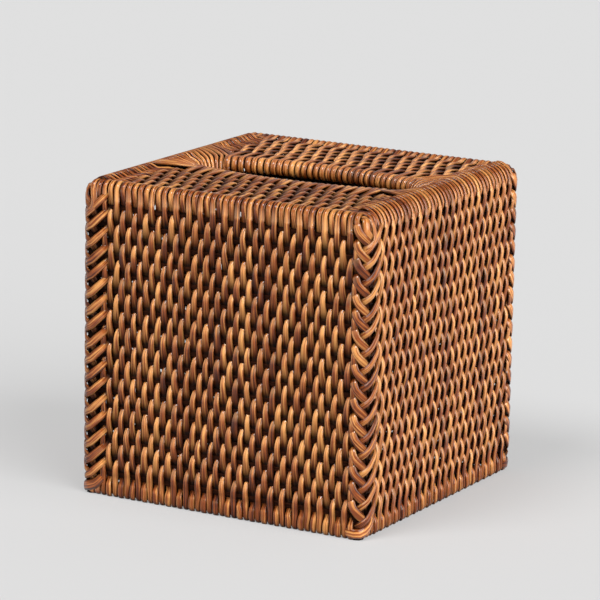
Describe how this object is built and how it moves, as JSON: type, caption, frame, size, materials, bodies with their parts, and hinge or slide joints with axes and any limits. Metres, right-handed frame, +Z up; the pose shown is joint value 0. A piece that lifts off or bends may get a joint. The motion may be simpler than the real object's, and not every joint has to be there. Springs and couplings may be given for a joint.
{
  "type": "tissue box cover",
  "caption": "Open-bottomed woven cane cube that slips over an upright tissue box, with an oval slot in its top framed by a wrapped ring and herringbone lashing at its corners.",
  "frame": {"origin": "on the table under the middle of the cover", "axes": "+Z up, +X to the right along the slot, front wall towards -Y"},
  "size_m": [0.146, 0.146, 0.146],
  "materials": {
    "peel": "satin lacquered rattan peel",
    "cane": "stained rattan cane"
  },
  "bodies": {
    "root": {"front_bottom_rail": "cane", "front_top_rail": "cane", "front_wall_ribs": "cane", "front_wall_strips": "peel", "front_top_strips": "peel", "right_bottom_rail": "cane", "right_top_rail": "cane", "right_wall_ribs": "cane", "right_wall_strips": "peel", "right_top_strips": "peel", "back_bottom_rail": "cane", "back_top_rail": "cane", "back_wall_ribs": "cane", "back_wall_strips": "peel", "back_top_strips": "peel", "left_bottom_rail": "cane", "left_top_rail": "cane", "left_wall_ribs": "cane", "left_wall_strips": "peel", "left_top_strips": "peel", "front_top_ribs": "cane", "back_top_ribs": "cane", "left_side_ribs": "cane", "right_side_ribs": "cane", "front_left_corner_post": "cane", "front_left_corner_lashing": "peel", "front_right_corner_post": "cane", "front_right_corner_lashing": "peel", "back_right_corner_post": "cane", "back_right_corner_lashing": "peel", "back_left_corner_post": "cane", "back_left_corner_lashing": "peel", "slot_ring": "cane"}
  },
  "joints": []
}
